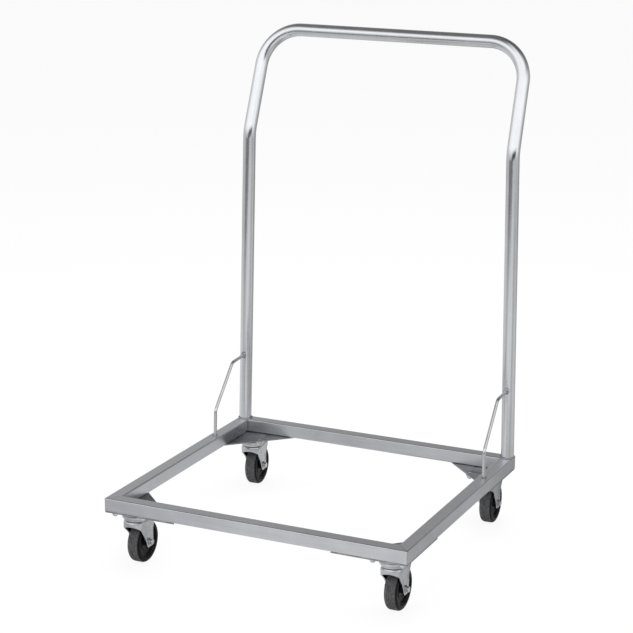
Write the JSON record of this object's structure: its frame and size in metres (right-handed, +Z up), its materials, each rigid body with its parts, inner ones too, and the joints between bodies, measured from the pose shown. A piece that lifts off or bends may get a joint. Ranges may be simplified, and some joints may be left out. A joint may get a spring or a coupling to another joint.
{
  "type": "dish rack dolly",
  "caption": "Square-tube floor dolly for dish racks on swivel casters, with a tall bent push handle braced by thin rods.",
  "frame": {"origin": "on the floor, at the middle of the dolly's outline: midway between the frame's sides, and midway between the front face of the frame and the back of the grip", "axes": "+X to the right as seen from the front, +Y to the rear, where the handle stands, +Z up; metres"},
  "size_m": [0.6, 0.636, 0.9486],
  "materials": {
    "stainless_rail": "square stainless tube, fine lengthwise brushing",
    "gusset_plate": "mill-finish stainless sheet",
    "handle_tube": "round stainless tube, satin polished",
    "brace_rod": "bright drawn stainless rod",
    "weld": "cleaned weld bead",
    "stud_steel": "plain bright steel thread and nut",
    "zinc_plate": "bright zinc plating on pressed steel",
    "pin_steel": "turned steel, oiled",
    "ball_steel": "polished bearing balls in grease",
    "bolt_steel": "bright zinc plating on turned steel",
    "wheel_core": "black moulded nylon",
    "tyre_rubber": "solid black rubber tyre, fine grooves around the tread"
  },
  "bodies": {
    "frame": {"front_rail": "stainless_rail", "rear_rail": "stainless_rail", "left_rail": "stainless_rail", "right_rail": "stainless_rail", "front_left_gusset": "gusset_plate", "front_right_gusset": "gusset_plate", "rear_left_gusset": "gusset_plate", "rear_right_gusset": "gusset_plate", "handle": "handle_tube", "left_brace_rod": "brace_rod", "right_brace_rod": "brace_rod", "post_weld_beads": "weld", "rod_weld_beads": "weld", "caster_studs": "stud_steel", "caster_stud_nuts": "stud_steel", "front_left_top_plate": "zinc_plate", "front_left_king_pin": "pin_steel", "front_left_swivel_balls": "ball_steel", "front_left_race_cup": "zinc_plate", "front_right_top_plate": "zinc_plate", "front_right_king_pin": "pin_steel", "front_right_swivel_balls": "ball_steel", "front_right_race_cup": "zinc_plate", "rear_left_top_plate": "zinc_plate", "rear_left_king_pin": "pin_steel", "rear_left_swivel_balls": "ball_steel", "rear_left_race_cup": "zinc_plate", "rear_right_top_plate": "zinc_plate", "rear_right_king_pin": "pin_steel", "rear_right_swivel_balls": "ball_steel", "rear_right_race_cup": "zinc_plate"},
    "front_left_swivel": {"front_left_fork": "zinc_plate", "front_left_axle_bolt": "bolt_steel", "front_left_axle_washers": "bolt_steel", "front_left_axle_nut": "bolt_steel", "front_left_axle_sleeve": "pin_steel"},
    "front_left_wheel": {"front_left_wheel_core": "wheel_core", "front_left_tyre": "tyre_rubber"},
    "front_right_swivel": {"front_right_fork": "zinc_plate", "front_right_axle_bolt": "bolt_steel", "front_right_axle_washers": "bolt_steel", "front_right_axle_nut": "bolt_steel", "front_right_axle_sleeve": "pin_steel"},
    "front_right_wheel": {"front_right_wheel_core": "wheel_core", "front_right_tyre": "tyre_rubber"},
    "rear_left_swivel": {"rear_left_fork": "zinc_plate", "rear_left_axle_bolt": "bolt_steel", "rear_left_axle_washers": "bolt_steel", "rear_left_axle_nut": "bolt_steel", "rear_left_axle_sleeve": "pin_steel"},
    "rear_left_wheel": {"rear_left_wheel_core": "wheel_core", "rear_left_tyre": "tyre_rubber"},
    "rear_right_swivel": {"rear_right_fork": "zinc_plate", "rear_right_axle_bolt": "bolt_steel", "rear_right_axle_washers": "bolt_steel", "rear_right_axle_nut": "bolt_steel", "rear_right_axle_sleeve": "pin_steel"},
    "rear_right_wheel": {"rear_right_wheel_core": "wheel_core", "rear_right_tyre": "tyre_rubber"}
  },
  "joints": [
    {"name": "front_left_swivel_turn", "type": "hinge", "parent": "frame", "child": "front_left_swivel", "pos_m": [-0.2575, -0.278, 0.0926], "axis": [0, 0, 1], "continuous": true},
    {"name": "front_left_wheel_roll", "type": "hinge", "parent": "front_left_swivel", "child": "front_left_wheel", "pos_m": [-0.2575, -0.253, 0.04], "axis": [1, 0, 0], "continuous": true},
    {"name": "front_right_swivel_turn", "type": "hinge", "parent": "frame", "child": "front_right_swivel", "pos_m": [0.2575, -0.278, 0.0926], "axis": [0, 0, 1], "continuous": true},
    {"name": "front_right_wheel_roll", "type": "hinge", "parent": "front_right_swivel", "child": "front_right_wheel", "pos_m": [0.2575, -0.253, 0.04], "axis": [1, 0, 0], "continuous": true},
    {"name": "rear_left_swivel_turn", "type": "hinge", "parent": "frame", "child": "rear_left_swivel", "pos_m": [-0.2575, 0.202, 0.0926], "axis": [0, 0, 1], "continuous": true},
    {"name": "rear_left_wheel_roll", "type": "hinge", "parent": "rear_left_swivel", "child": "rear_left_wheel", "pos_m": [-0.25924, 0.22694, 0.04], "axis": [0.9976, 0.0698, 0], "continuous": true},
    {"name": "rear_right_swivel_turn", "type": "hinge", "parent": "frame", "child": "rear_right_swivel", "pos_m": [0.2575, 0.202, 0.0926], "axis": [0, 0, 1], "continuous": true},
    {"name": "rear_right_wheel_roll", "type": "hinge", "parent": "rear_right_swivel", "child": "rear_right_wheel", "pos_m": [0.25663, 0.22698, 0.04], "axis": [0.9994, 0.0349, 0], "continuous": true}
  ]
}
